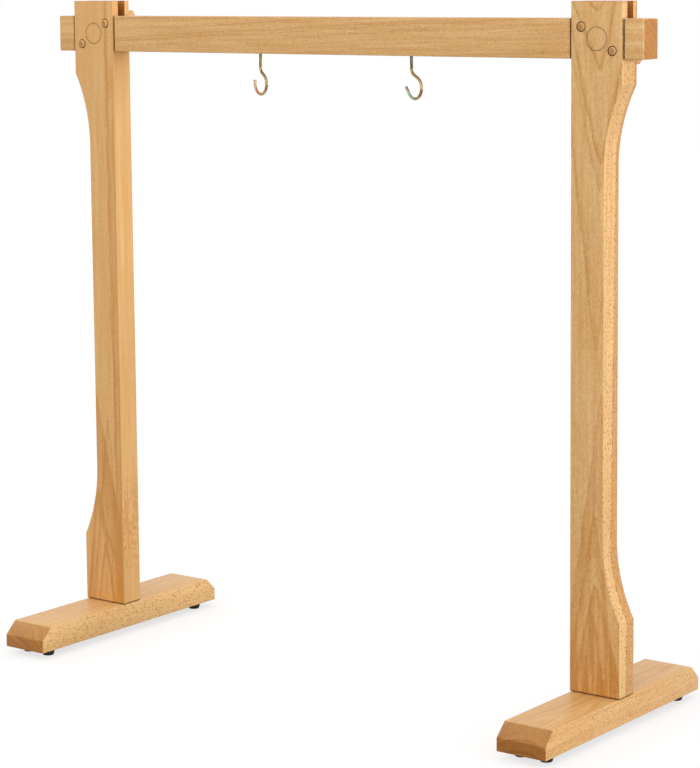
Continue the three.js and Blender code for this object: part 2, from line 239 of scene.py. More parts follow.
def round_edges(piece, width_at, segments=3):
    """Rounds each sharp edge by the width that a rule gives for its two ends, or 0 for none."""
    facing = {}
    for face in piece.data.polygons:
        for edge in face.edge_keys:
            facing.setdefault(edge, []).append(face.normal)
    corners = [vertex.co for vertex in piece.data.vertices]
    widths = []
    for edge in piece.data.edges:
        one, other = facing[edge.key]
        sharp = one.dot(other) < math.cos(SHARP_CORNER)
        widths.append(width_at(*(corners[v] for v in edge.vertices)) if sharp else 0)
    widest = max(widths)
    weights = piece.data.attributes.new("bevel_weight_edge", "FLOAT", "EDGE")
    weights.data.foreach_set("value", [width / widest for width in widths])
    finish_modifier(piece, "BEVEL", width=widest, segments=segments, limit_method="WEIGHT")
    piece.data.attributes.remove(piece.data.attributes["bevel_weight_edge"])


def slice_off(piece, point, normal):
    """Saws off what lies past a plane."""
    pick(piece)
    bpy.ops.object.mode_set(mode="EDIT")
    bpy.ops.mesh.select_all(action="SELECT")
    bpy.ops.mesh.bisect(plane_co=point, plane_no=normal, use_fill=True, clear_outer=True)
    bpy.ops.object.mode_set(mode="OBJECT")


def smooth(piece, angle=28):
    """Shades a piece smooth except over its corners, which keep their crease."""
    pick(piece)
    bpy.ops.object.shade_smooth_by_angle(angle=math.radians(angle))
    return piece


def hand_over(piece, body, slot, *nodes):
    """Puts a finished piece on the body that it rides on and hides the nodes that it stands for.
    The slot, its finish, is not used.
    """
    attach(piece, body)
    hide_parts(*nodes)


PALE_BEECH, DEEP_BEECH = (0.83, 0.53, 0.23, 1), (0.50, 0.215, 0.04, 1)
WARM_BEECH, RAY_BROWN = (0.70, 0.33, 0.08, 1), (0.38, 0.10, 0.0, 1)
PALE_END, DEEP_END = (0.61, 0.28, 0.065, 1), (0.27, 0.078, 0.0, 1)
# Painted shade: the sawn brown darkens slots and bore walls, and the lower-edge brown a post's
# foot; the burnt colour is the rings' own, and painted shade in bores and shoulders.
SHADED_SAWN_BROWN, RIM_SHADE_BROWN, BURNT_AND_SHADE = (0.34, 0.10, 0.0, 1), (0.10, 0.028, 0.0, 1), (0.05, 0.022, 0.009, 1)


def beech(
    name, middle, along, wide, heart, lean=(0, 0), ring_gap=3.6, rings=0.35, seed=0,
    tones=(0, 0, 0, 0, 0), side_rays=(7, 2.4, 0.3, 0.7), face_rays=(9, 2.2, 0.3, 0.26),
    ends=(0.3, 0.88), vees=(), layer=None, curl=None, mark=None, bores=(), slot=None, seat=None,
    shaded_rim=None,
):
    """Oiled beech as a sawn log. Its pattern is solid, so that rings run over the corners.

    Lengths, widths and depths are millimetres from the board's middle. along and wide are the
    board's own directions, heart is how far the tree's middle lies from the board's in width
    and depth, and lean how it wanders off with the length. The tones darken it all, its sides
    and its lower end, warm it, and darken its ends. The side tone is painted light, paler
    sides as a sheen, and the lower end's darkening is painted shade, as near a foot. A painted
    shade also darkens the sides from 80 to 420 mm past the middle and beyond, as under the
    crossbar. Rays are dark lenses of a spacing along and across the grain, a size and a
    strength. Each vee is a growth line that comes to a point at a length and a width, with a
    slope, a tilt, a strength and how far in it fades. A layer is darker heartwood past a
    depth that changes with the length, and a curl a wavy figure on the sides round a length.
    A mark's two rings are burnt in round a length. Bores are holes at a length and a width,
    their walls painted dark brown as shade and darker still near the front, as the gap round
    a pin. The slot is sawn in past a length round a depth, its faces painted dark brown as
    shade. The seats are let in round a length at both ends, and painted dark there as the
    shade in the shoulder gaps. A band at the lower edge is painted dark brown as the shade
    where a post stands on its foot.
    """
    all_tone, side_light_tone, low_shade_tone, warm_tone, cut_tone = tones
    wood = Finish(bpy.data.materials.new(name))
    along, wide = Vector(along), Vector(wide)
    turn = Matrix((along, wide, along.cross(wide))).transposed().to_euler()
    place = wood.node("TexCoord", output="Object")
    mapping = {"Vector": place, "Location": Vector(middle), "Rotation": turn, "Scale": (MM, MM, MM)}
    board = wood.node("Mapping", {"vector_type": "TEXTURE"}, mapping)
    length, width, depth = (
        wood.node("SeparateXYZ", None, {0: board}, output=axis) for axis in range(3)
    )
    facing = wood.node("TexCoord", output="Normal")
    dot = {"operation": "DOT_PRODUCT"}
    facing_end, facing_side = (
        wood.node("VectorMath", dot, {0: facing, 1: axis}, output=1).math("ABSOLUTE")
        for axis in (along, wide)
    )

    def stretched(run, across, deep, shift=0.0):
        """The board's own place, with each direction measured in a length of its own."""
        start = [shift + step * seed for step in (7.3, 3.1, 5.7)]
        scaled = {0: board, 1: (1 / run, 1 / across, 1 / deep), 2: start}
        return wood.node("VectorMath", {"operation": "MULTIPLY_ADD"}, scaled)

    def noise(run, across, detail=2.0, roughness=0.5, shift=0.0):
        """Clouds from -0.5 to 0.5, of a length along the grain and a width across it."""
        inputs = {"Vector": stretched(run, across, across, shift), "Scale": 1.0}
        inputs.update({"Detail": detail, "Roughness": roughness})
        return wood.node("TexNoise", None, inputs) - 0.5

    def line_noise(value, gap):
        """Noise from -0.5 to 0.5 that changes with one value only."""
        inputs = {"W": value / gap + 11.7 * seed, "Scale": 1.0, "Detail": 1.0}
        return wood.node("TexNoise", {"noise_dimensions": "1D"}, inputs) - 0.5

    def apart(*steps):
        """The root of the steps' squares."""
        squares = [step.math("POWER", 2.0) for step in steps]
        return sum(squares[1:], squares[0]).math("SQRT")

    def rays_on(across_axis, run, across, size, strength):
        """Ray ends on one pair of faces, as dark lenses with their own sizes and tones."""
        drift = noise(40, 12, 1.0, shift=4.0) * 2.0
        cells = {0: length / run + 3.7 * seed, 1: across_axis / across + drift}
        inputs = {"Vector": wood.node("CombineXYZ", None, cells), "Scale": 1.0}
        from_centre = wood.node("TexVoronoi", {"voronoi_dimensions": "2D"}, inputs)
        chance = wood.node("SeparateColor", None, {0: from_centre.output("Color")})
        lens = (chance * 0.75 + 0.45) * size - from_centre
        return lens.between(0.0, size * 0.4) * chance.output("Green").between(0.1, 0.6) * strength

    from_heart = apart(width - heart[0] - length * lean[0], depth - heart[1] - length * lean[1])
    radius = from_heart + noise(260, 60, 1.0) * 13 + noise(95, 22, 1.0) * 2.6
    year = radius / ring_gap + line_noise(radius, 26) * 2.4
    strength = wood.node("TexWhiteNoise", {"noise_dimensions": "1D"}, {"W": year.math("FLOOR")})
    phase = year.math("FRACT")
    late_wood = phase.between(0.1, 0.88) * phase.between(1.0, 0.88) * (strength * strength + 0.1)
    bands = line_noise(radius, 11)
    fibres = noise(26, 0.9, 3.0, 0.6)
    specks = noise(6, 1.7, 1.0, shift=5.0)
    streaks = noise(170, 7, 2.0)
    clouds = noise(300, 34, 1.0, shift=9.0)
    on_side = facing_side.between(0.4, 0.8)
    # Painted shade: faces other than the sides darken towards the lower end, as near a foot.
    painted_low_shade = length.between(-380, -600) * (1 - on_side) * (1 + streaks * 2.5)
    # Painted shade: the sides darken from 80 to 420 mm past the middle and stay dark beyond, as
    # under the crossbar.
    painted_high_shade = length.between(80, 420) * on_side
    rays = rays_on(depth, *side_rays) * on_side + rays_on(width, *face_rays) * (1 - on_side)
    # The side tone is painted light: it makes the sides paler, as a sheen.
    depth_of_tone = (
        0.33 + all_tone + on_side * side_light_tone + painted_low_shade * low_shade_tone + painted_high_shade * 0.16
        + late_wood * (rings * 1.6) + bands * (rings * 1.4)
        + streaks * 0.85 + fibres * 0.65 + specks * 0.95 + clouds * 0.4
    )
    warmth = noise(130, 11, 1.0, shift=2.0) * 1.7 + 0.42 + on_side * side_light_tone + warm_tone
    for start, across, slope, tilt, share, reach in vees:
        leg = apart(width - across - (length - start) * tilt - depth * 0.2, depth * 0.1 + 7)
        inside = (length - start) * slope - leg + 7 + noise(60, 16, 1.0, shift=start / 40) * 9
        growth_line = inside.between(reach, 0) * inside.between(-0.9, 0.5) * (1 - on_side)
        depth_of_tone = depth_of_tone + growth_line * share
        warmth = warmth + growth_line * (share * 0.2)
    if layer:
        layer_depth, layer_slope, share = layer
        past = depth - layer_depth - length * layer_slope + noise(160, 9, 2.0) * 2.2
        depth_of_tone = depth_of_tone + past.between(-0.6, 0.9) * share
        warmth = warmth + past.between(-0.6, 0.9) * 0.3
        edge_rays = rays_on(depth, 6, 2.2, 0.5, 1.0) * past.between(-2.6, -0.8)
        edge_rays = edge_rays * (1 - past.between(1, 3) * 0.75)
        rays = rays.math("MAXIMUM", edge_rays * on_side)
    if curl:
        curl_middle, reach, share = curl
        waves = (noise(34, 13, 2.0, shift=3.0) * 34).math("SINE") * 0.5 + 0.3
        near_curl = (length - curl_middle).math("ABSOLUTE").between(reach, reach * 0.3)
        near_curl = near_curl * on_side * share
        depth_of_tone = depth_of_tone + waves * near_curl
        warmth = warmth + waves * near_curl
    long_grain = wood.colour(depth_of_tone.within(), PALE_BEECH, DEEP_BEECH)
    long_grain = wood.colour((warmth * 0.6).within() * 0.75, long_grain, WARM_BEECH)
    long_grain = wood.colour(rays, long_grain, RAY_BROWN)
    end_tone = 0.4 + cut_tone + late_wood * 0.4 + bands * 0.5
    end_tone = end_tone + noise(5, 0.7, 2.0) * 0.7 + noise(9, 5, 2.0) * 0.4
    end_grain = wood.colour(end_tone.within(), PALE_END, DEEP_END)
    end_share = facing_end.between(*ends)
    surface = wood.colour(end_share, long_grain, end_grain)
    relief = fibres * 0.5 - rays * 0.1 - late_wood * 0.1
    roughness = 0.46 + fibres * 0.1 + rays * 0.1 + end_share * 0.14
    if mark:
        mark_middle, ring, inner_ring, face = mark
        from_mark = apart(length - mark_middle, width)
        burnt = (from_mark - ring).math("ABSOLUTE").between(0.72, 0.46)
        burnt = burnt + (from_mark - inner_ring).math("ABSOLUTE").between(0.28, 0.12) * 0.7
        burnt = burnt * depth.between(face + 1.1, face + 0.9) * (0.86 + specks)
        surface = wood.colour(burnt, surface, BURNT_AND_SHADE)
        relief = relief - burnt * 1.6
        roughness = roughness + burnt * 0.25
    # Each of these areas is painted a dark brown as shade, with saw marks and a rougher finish.
    sawn = []
    # Bore walls are painted dark brown as shade, and darker still near the front face, as the shade
    # in the gap round a pin.
    for up, across, bore_radius in bores:
        bore_shade = apart(length - up, width - across).between(bore_radius + 0.9, bore_radius + 0.3)
        sawn += [(bore_shade, SHADED_SAWN_BROWN), (bore_shade * depth.between(-17, -21), BURNT_AND_SHADE)]
    # The slot's faces are painted dark brown as shade, with saw marks.
    if slot:
        sawn_to, slot_depth, half = slot
        slot_shade = (depth - slot_depth).math("ABSOLUTE").between(half + 0.4, half + 0.2)
        sawn.append((slot_shade * length.between(sawn_to - 1, sawn_to), SHADED_SAWN_BROWN))
    # The let-in length at each end is painted dark as the shade in the shoulder gaps.
    if seat:
        seat_middle, half = seat
        from_seat = (length.math("ABSOLUTE") - seat_middle).math("ABSOLUTE")
        sawn.append((from_seat.between(half + 0.5, half + 0.2), BURNT_AND_SHADE))
    # A band at the lower edge is painted dark brown as the shade where a post stands on its foot.
    if shaded_rim:
        sawn.append((length.between(shaded_rim + 3.2, shaded_rim + 1.6), RIM_SHADE_BROWN))
    for area, brown in sawn:
        saw_marks = line_noise(length + depth * 0.06, 1.6)
        surface = wood.colour(area * (0.85 + saw_marks * 0.4), surface, brown)
        relief = relief + area * saw_marks * 1.2
        roughness = roughness + area * 0.25
    wood.shade(
        Base_Color=surface,
        Roughness=roughness,
        Specular_IOR_Level=0.36,
        Coat_Weight=0.11,
        Coat_Roughness=0.22,
        Normal=wood.node("Bump", None, {"Strength": 0.2, "Distance": 0.25 * MM, "Height": relief}),
    )
    return wood


SIDES = {"left": -1, "right": 1}
FOOT_CHAMFER_RUN, FOOT_CHAMFER_DROP = 25 * MM, 24 * MM
FOOT_ROUND = 2.2 * MM
BOLT_SPACING = 56 * MM
BOLT_HOLE_RADIUS, COUNTERBORE_RADIUS, COUNTERBORE_DEPTH = 4.5 * MM, 11 * MM, 14 * MM
PILOT_RADIUS, PILOT_DEPTH = 2.4 * MM, 20.4 * MM
OVERRUN = 5 * MM
FOOT_HEARTS = {"left": (-60, 110), "right": (10, 90)}
# The left foot's tones are paler than the right's, partly as painted light against the shade that
# the right foot throws on it from the lamp.
FOOT_TONES = {"left": (-0.57, -0.17, 0, 0.35, 0.12), "right": (-0.25, -0.07, 0, 0.3, 0.34)}
FOOT_RAYS = {"left": (8.5, 2.3, 0.44, 0.62), "right": (6.5, 1.4, 0.42, 0.65)}

for side, sign in SIDES.items():
    low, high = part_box(f"{side}_foot")
    middle = (low + high) / 2
    foot = block(f"{side}_foot_board", low, high)
    for end in (-1, 1):
        normal = Vector((0, end * FOOT_CHAMFER_DROP, FOOT_CHAMFER_RUN)).normalized()
        end_y = high.y if end > 0 else low.y
        slice_off(foot, (middle.x, end_y, high.z - FOOT_CHAMFER_DROP), normal)
    round_edges(foot, lambda a, b: FOOT_ROUND)
    for across in (-1, 1):
        x = middle.x + across * BOLT_SPACING / 2
        below = (x, 0, low.z - OVERRUN)
        cut(foot, rod("hole", below, (x, 0, high.z + OVERRUN), BOLT_HOLE_RADIUS))
        cut(foot, rod("bore", below, (x, 0, low.z + COUNTERBORE_DEPTH), COUNTERBORE_RADIUS))
        place = "outer" if across == sign else "inner"
        for row in ("front", "back"):
            bumper_low, bumper_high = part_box(f"{side}_bumper_{row}_{place}")
            seat = (bumper_low + bumper_high) / 2
            below = (seat.x, seat.y, low.z - OVERRUN)
            top = (seat.x, seat.y, low.z + PILOT_DEPTH)
            cut(foot, rod("pilot", below, top, PILOT_RADIUS, 24))
    smooth(foot)
    foot_beech = beech(
        f"{side}_foot_beech", middle, (0, 1, 0), (1, 0, 0), FOOT_HEARTS[side],
        lean=(0.02, 0.008), seed=3 + sign, tones=FOOT_TONES[side], side_rays=FOOT_RAYS[side],
    )
    foot.data.materials.append(foot_beech.owner)
    hand_over(foot, "stand", "beech", f"{side}_foot")


# Bumpers: black rubber, moulded with a flange and a slight taper, one near each corner of a
# foot's underside. The recess in the sole takes the head of the screw that holds it.
def turned(name, outline, sides=48):
    """Turns a closed outline of radii and heights round Z, as on a lathe."""
    bpy.ops.object.select_all(action="DESELECT")
    bpy.ops.mesh.primitive_circle_add(vertices=len(outline), location=(0, 0, 0))
    piece = bpy.context.object
    piece.name = name
    for vertex, (radius, height) in zip(piece.data.vertices, outline):
        vertex.co = (radius, 0, height)
    bpy.ops.object.mode_set(mode="EDIT")
    bpy.ops.mesh.select_all(action="SELECT")
    bpy.ops.mesh.spin(steps=sides, angle=2 * math.pi, center=(0, 0, 0), axis=(0, 0, 1))
    bpy.ops.mesh.select_all(action="SELECT")
    bpy.ops.mesh.remove_doubles(threshold=MM / 1000)
    bpy.ops.mesh.delete_loose(use_verts=True, use_edges=True, use_faces=False)
    bpy.ops.mesh.select_all(action="SELECT")
    bpy.ops.mesh.normals_make_consistent(inside=False)
    bpy.ops.object.mode_set(mode="OBJECT")
    return piece


def placed(piece, place):
    """Copies a piece to its place, with a mesh of its own."""
    copied = piece.copy()
    copied.data = piece.data.copy()
    bpy.context.scene.collection.objects.link(copied)
    copied.matrix_world = Matrix.Translation(place)
    return settle(copied)


def on_ring(a, b, ring):
    """Whether an edge lies on a ring of a radius and a height."""
    radius, height = ring
    near = 0.1 * MM
    return all(
        abs(Vector(end.xy).length - radius) < near and abs(end.z - height) < near for end in (a, b)
    )


RECESS_DEPTH = 6 * MM
SOLE_ROUND, FLANGE_ROUND = 0.9 * MM, 0.5 * MM
BUMPER_OUTLINE = [
    (radius * MM, height * MM)
    for radius, height in (
        (4.4, 0), (10.3, 0), (11.6, 4.6), (13, 9.6), (13.4, 10.3), (14, 11.3), (14, 13),
        (2.4, 13), (2.4, 6), (4.4, 6),
    )
]
bumper_blank = turned("bumper_blank", BUMPER_OUTLINE, 64)
sole, flange = BUMPER_OUTLINE[1], BUMPER_OUTLINE[6]


def bumper_edge(a, b):
    """How far the sole's and the flange's rims are rounded."""
    return SOLE_ROUND if on_ring(a, b, sole) else FLANGE_ROUND if on_ring(a, b, flange) else 0


round_edges(bumper_blank, bumper_edge)
smooth(bumper_blank, 40)

rubber = Finish(bpy.data.materials.new("black_rubber"))
rubber_place = rubber.node("TexCoord", output="Object")
fine = {"Vector": rubber_place, "Scale": 2600.0, "Detail": 2.0}
coarse = {"Vector": rubber_place, "Scale": 160.0, "Detail": 3.0}
rubber_grain = rubber.node("TexNoise", None, fine) - 0.5
rubber_bloom = rubber.node("TexNoise", None, coarse).between(0.45, 0.75)
rubber.shade(
    Base_Color=rubber.colour(rubber_bloom, (0.004, 0.004, 0.004, 1), (0.012, 0.012, 0.011, 1)),
    Roughness=0.6 + rubber_bloom * 0.15 + rubber_grain * 0.2,
    Specular_IOR_Level=0.3,
    Normal=rubber.node(
        "Bump", None, {"Strength": 0.25, "Distance": 0.1 * MM, "Height": rubber_grain}
    ),
)
bumper_blank.data.materials.append(rubber.owner)


def bumper_places():
    """Each foot's four bumpers, as the words of their names and the middles of their soles."""
    for side in SIDES:
        for row in ("front", "back"):
            for place in ("inner", "outer"):
                low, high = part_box(f"{side}_bumper_{row}_{place}")
                sole_middle = Vector(((low.x + high.x) / 2, (low.y + high.y) / 2, low.z))
                yield side, f"{row}_{place}", sole_middle


for side, place, sole_middle in bumper_places():
    bumper = placed(bumper_blank, sole_middle)
    bumper.name = f"{side}_rubber_bumper_{place}"
    hand_over(bumper, "stand", "rubber", f"{side}_bumper_{place}")
bpy.data.objects.remove(bumper_blank)


# Bumper screws: zinc-plated pan heads with a cross recess, one up through each bumper. The
# head sits in the bumper's own recess, and the rolled thread bites in the foot's pilot hole.
def threaded(name, outline, low, high, crest, depth, pitch, sides=24):
    """Turns a rod and rolls a thread on it between two heights, to a depth below its crest."""
    lower = [point for point in outline if point[1] <= low]
    upper = [point for point in outline if point[1] >= high]
    (r0, z0), (r1, z1) = lower[-1], upper[0]
    count = round((high - low) / pitch * 4)
    rings = []
    for step in range(1, count):
        height = low + (high - low) * step / count
        rings.append((r0 + (r1 - r0) * (height - z0) / (z1 - z0), height))
    piece = turned(name, lower + rings + upper, sides)
    for vertex in piece.data.vertices:
        radius = Vector(vertex.co.xy).length
        if low < vertex.co.z < high and radius > 0:
            turns = vertex.co.z / pitch - math.atan2(vertex.co.y, vertex.co.x) / (2 * math.pi)
            rise = 1 - abs(2 * (turns - math.floor(turns)) - 1)
            fade = min(1, (vertex.co.z - low) / pitch, (high - vertex.co.z) / pitch + 0.3)
            groove = depth * (1 - rise) * fade * min(1, radius / crest)
            vertex.co.x *= (radius - groove) / radius
            vertex.co.y *= (radius - groove) / radius
    return piece


SCREW_LENGTH, SCREW_RADIUS = 27 * MM, 2 * MM
SCREW_HEAD_RADIUS, SCREW_HEAD_HEIGHT = 4 * MM, 2.6 * MM
SCREW_THREAD_LOW, SCREW_THREAD_HIGH = 7.5 * MM, SCREW_LENGTH - 5 * MM
SCREW_THREAD_DEPTH, SCREW_PITCH = 0.6 * MM, 1.8 * MM
CROSS_HALF_LENGTH, CROSS_HALF_WIDTH, CROSS_FLOOR = 2.1 * MM, 0.45 * MM, -1.2 * MM
SCREW_SEAT = RECESS_DEPTH - 0.3 * MM
SCREW_OUTLINE = [
    (0, -SCREW_HEAD_HEIGHT), (2.2 * MM, -SCREW_HEAD_HEIGHT), (3.4 * MM, -2.1 * MM),
    (SCREW_HEAD_RADIUS, -1.1 * MM), (SCREW_HEAD_RADIUS, -0.2 * MM), (3.8 * MM, 0), (1.6 * MM, 0),
    (1.9 * MM, SCREW_THREAD_LOW), (SCREW_RADIUS, SCREW_THREAD_HIGH), (0, SCREW_LENGTH),
]
screw_blank = threaded(
    "screw_blank", SCREW_OUTLINE, SCREW_THREAD_LOW, SCREW_THREAD_HIGH, SCREW_RADIUS,
    SCREW_THREAD_DEPTH, SCREW_PITCH,
)
for turn in (0, 90):
    cross_low = (-CROSS_HALF_LENGTH, -CROSS_HALF_WIDTH, -OVERRUN)
    cross_slot = block("cross_slot", cross_low, (CROSS_HALF_LENGTH, CROSS_HALF_WIDTH, CROSS_FLOOR))
    cross_slot.rotation_euler.z = math.radians(turn)
    cut(screw_blank, settle(cross_slot))
smooth(screw_blank, 35)

steel = Finish(bpy.data.materials.new("zinc_plated_steel"))
steel_place = steel.node("TexCoord", output="Object")
steel_cloud = steel.node("TexNoise", None, {"Vector": steel_place, "Scale": 350.0, "Detail": 4.0})
turning_place = steel.node("Mapping", None, {"Vector": steel_place, "Scale": (300, 300, 6000)})
turning = steel.node("TexNoise", None, {"Vector": turning_place, "Scale": 1.0, "Detail": 2.0}) - 0.5
steel.shade(
    Base_Color=steel.colour(
        steel_cloud.between(0.35, 0.7), (0.50, 0.51, 0.53, 1), (0.63, 0.63, 0.62, 1)
    ),
    Metallic=1.0,
    Roughness=0.3 + steel_cloud * 0.16,
    Normal=steel.node("Bump", None, {"Strength": 0.12, "Distance": 0.05 * MM, "Height": turning}),
)
screw_blank.data.materials.append(steel.owner)
for side, place, sole_middle in bumper_places():
    screw = placed(screw_blank, sole_middle + Vector((0, 0, SCREW_SEAT)))
    screw.name = f"{side}_pan_head_screw_{place}"
    hand_over(screw, "stand", "steel", f"{side}_bumper_screw_{place}")
bpy.data.objects.remove(screw_blank)


# Posts: beech boards with a long hollow sawn in the outer edge, an open slot at the top
# and two slanting pin holes. Two plain rings are burnt in the upper part of each front face.
WAIST_DEPTH, WAIST_RADIUS = 34 * MM, 300 * MM
WAIST_LOW_CORNER, WAIST_HIGH_CORNER = 133.5 * MM, 141 * MM
POST_FOOT_EASE, POST_ROUND, SLOT_ROUND = 3 * MM, 1.4 * MM, 0.6 * MM
FRONT_CHEEK, SLOT_WIDTH, SLOT_GAP = 16.5 * MM, 19 * MM, 0.3 * MM
HOLE_PLAY = 1 * MM
POCKET_RADIUS, POCKET_DEPTH = 6.3 * MM, 26.3 * MM
MARK_RADIUS, MARK_INNER_RADIUS = 20 * MM, 17.6 * MM

POST_GRAIN = {
    "left": {
        "heart": (-150, -120), "lean": (0.01, 0.006), "rings": 0.16, "seed": 6,
        "tones": (-0.27, 0.03, 0.32, 0.55, 0), "side_rays": (5, 2.2, 0.2, 0.3),
        "curl": (-440, 110, 0.8),
        "vees": (
            (-464, 14, -0.27, -0.115, 1.2, 8), (-380, -8, -0.14, -0.02, 0.8, 10),
            (-250, 20, -0.1, 0.02, 0.5, 14), (-127, -25, -0.22, 0, 0.62, 75),
            (-700, 46, 0.006, 0, 0.7, 11),
        ),
    },
    "right": {
        "heart": (8, -190), "lean": (0, 0.045), "ring_gap": 4.2, "rings": 0.1, "seed": 8,
        "tones": (-0.12, -0.11, 0.42, -0.02, 0), "side_rays": (7.5, 4.2, 0.26, 0.95),
        "layer": (8.2, 0.018, 0.55),
        "vees": (
            (583, 5, 0.9, 0, 0.5, 11), (488, 13, 0.335, -0.125, 0.5, 11),
            (334, 12, 0.24, 0, 0.5, 11), (285, 10, 0.22, 0, 0.28, 11), (20, 6, 0.13, 0, 0.36, 11),
            (-90, 18, -0.155, 0, 0.32, 75), (-300, 4, -0.15, 0.02, 0.34, 13),
            (-408, 6, -0.235, -0.02, 0.4, 16), (-470, 2, -0.14, 0, 0.36, 20),
        ),
    },
}


def pin_holes(side):
    """The middles of a side's two key pins, with the radius of the holes that they pass."""
    for place in ("inner", "outer"):
        low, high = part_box(f"{side}_key_pin_{place}")
        yield (low + high) / 2, (high.x - low.x) / 2 + HOLE_PLAY


bar_low, bar_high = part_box("crossbar")
for side, sign in SIDES.items():
    low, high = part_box(f"{side}_post")
    middle = (low + high) / 2
    outer = high.x if sign > 0 else low.x
    post = block(f"{side}_post_board", low, high)

    arc_height = math.sqrt(2 * WAIST_RADIUS * WAIST_DEPTH - WAIST_DEPTH**2)
    hollow_low = low.z + WAIST_LOW_CORNER + arc_height
    hollow_high = high.z - WAIST_HIGH_CORNER - arc_height
    neck = outer - sign * WAIST_DEPTH
    axis = neck + sign * WAIST_RADIUS
    front, back = low.y - OVERRUN, high.y + OVERRUN
    saw, saw_top = (
        rod(name, (axis, front, height), (axis, back, height), WAIST_RADIUS, 512)
        for name, height in (("saw", hollow_low), ("saw_top", hollow_high))
    )
    cut(saw, saw_top, "UNION")
    near, far = sorted((neck, axis))
    cut(saw, block("saw_side", (near, front, hollow_low), (far, back, hollow_high)), "UNION")
    cut(post, saw)

    def post_edge(a, b):
        """The lower end is eased more than the upright corners and the top."""
        if max(a.z, b.z) < low.z + MM:
            return POST_FOOT_EASE
        if min(a.z, b.z) > high.z - MM or (abs(a.y - b.y) < MM and abs(abs(a.y) - high.y) < MM):
            return POST_ROUND
        return 0

    round_edges(post, post_edge, 4)
    slot_front = low.y + FRONT_CHEEK
    slot_floor = bar_low.z - SLOT_GAP
    slot_back = slot_front + SLOT_WIDTH
    slot_low = (low.x - OVERRUN, slot_front, slot_floor)
    cut(post, block("slot", slot_low, (high.x + OVERRUN, slot_back, high.z + OVERRUN)))

    def slot_edge(a, b):
        """The cheeks' inner edges at the top and down both sides, but not the slot's floor."""
        near = 0.1 * MM
        on_cheek = min(abs(a.y - y) + abs(b.y - y) for y in (slot_front, slot_back)) < near
        has_length = abs(a.x - b.x) + abs(a.z - b.z) > near
        on_floor = max(a.z, b.z) < slot_floor + MM and abs(a.x - b.x) > MM
        inside = max(abs(a.x - middle.x), abs(b.x - middle.x)) < high.x - middle.x - 2 * MM
        return SLOT_ROUND if on_cheek and has_length and not on_floor and not inside else 0

    round_edges(post, slot_edge, 2)
    for pin, hole_radius in pin_holes(side):
        cut(post, rod("hole", (pin.x, front, pin.z), (pin.x, back, pin.z), hole_radius, 64))
    for across in (-1, 1):
        x = middle.x + across * BOLT_SPACING / 2
        top = (x, 0, low.z + POCKET_DEPTH)
        cut(post, rod("pocket", (x, 0, low.z - OVERRUN), top, POCKET_RADIUS, 24))
    smooth(post)

    mark_height = (bar_low.z + bar_high.z) / 2 - middle.z
    mark = (mark_height, MARK_RADIUS, MARK_INNER_RADIUS, low.y - middle.y)
    slot_place = (slot_floor - middle.z, slot_front - middle.y + SLOT_WIDTH / 2, SLOT_WIDTH / 2)
    bores = []
    for pin, hole_radius in pin_holes(side):
        bores.append(((pin.z - middle.z) / MM, (pin.x - middle.x) / MM, hole_radius / MM))
    # The bores, the slot and the lower edge are painted dark as shade.
    post_beech = beech(
        f"{side}_post_beech", middle, (0, 0, 1), (1, 0, 0), **POST_GRAIN[side], ends=(0.5, 0.9),
        bores=bores, mark=[value / MM for value in mark],
        slot=[value / MM for value in slot_place], shaded_rim=(low.z - middle.z) / MM,
    )
    post.data.materials.append(post_beech.owner)
    hand_over(post, "stand", "beech", f"{side}_post")


# Bolts: two socket-head bolts come up through each foot, with a washer under the head, into
# brass inserts that are screwed into the post's lower end.
BOLT_LENGTH, BOLT_RADIUS = 55 * MM, 4 * MM
BOLT_HEAD_RADIUS, BOLT_HEAD_HEIGHT = 6.5 * MM, 8 * MM
BOLT_THREAD_LOW, BOLT_THREAD_HIGH = 27 * MM, BOLT_LENGTH - MM
BOLT_THREAD_DEPTH, BOLT_PITCH = 0.7 * MM, 1.25 * MM
HEXAGON_WIDTH, HEXAGON_FLOOR = 6 * MM, -4 * MM
BOLT_OUTLINE = [
    (0, -BOLT_HEAD_HEIGHT), (5.7 * MM, -BOLT_HEAD_HEIGHT), (6.2 * MM, -7.8 * MM),
    (BOLT_HEAD_RADIUS, -7.2 * MM), (BOLT_HEAD_RADIUS, -0.4 * MM), (6.2 * MM, 0),
    (BOLT_RADIUS, 0), (BOLT_RADIUS, BOLT_THREAD_LOW), (BOLT_RADIUS, BOLT_THREAD_HIGH),
    (3.2 * MM, BOLT_LENGTH), (0, BOLT_LENGTH),
]
bolt_blank = threaded(
    "bolt_blank", BOLT_OUTLINE, BOLT_THREAD_LOW, BOLT_THREAD_HIGH, BOLT_RADIUS,
    BOLT_THREAD_DEPTH, BOLT_PITCH,
)
socket_ends = (0, 0, -2 * BOLT_HEAD_HEIGHT), (0, 0, HEXAGON_FLOOR)
cut(bolt_blank, rod("hexagon", *socket_ends, HEXAGON_WIDTH / math.sqrt(3), 6))
smooth(bolt_blank, 35)
WASHER_OUTLINE = [
    (radius * MM, height * MM)
    for radius, height in (
        (4.3, 0), (9.7, 0), (10, 0.3), (10, 1.4), (9.8, 1.6), (4.5, 1.6), (4.3, 1.4),
    )
]
washer_blank = smooth(turned("washer_blank", WASHER_OUTLINE, 48), 35)

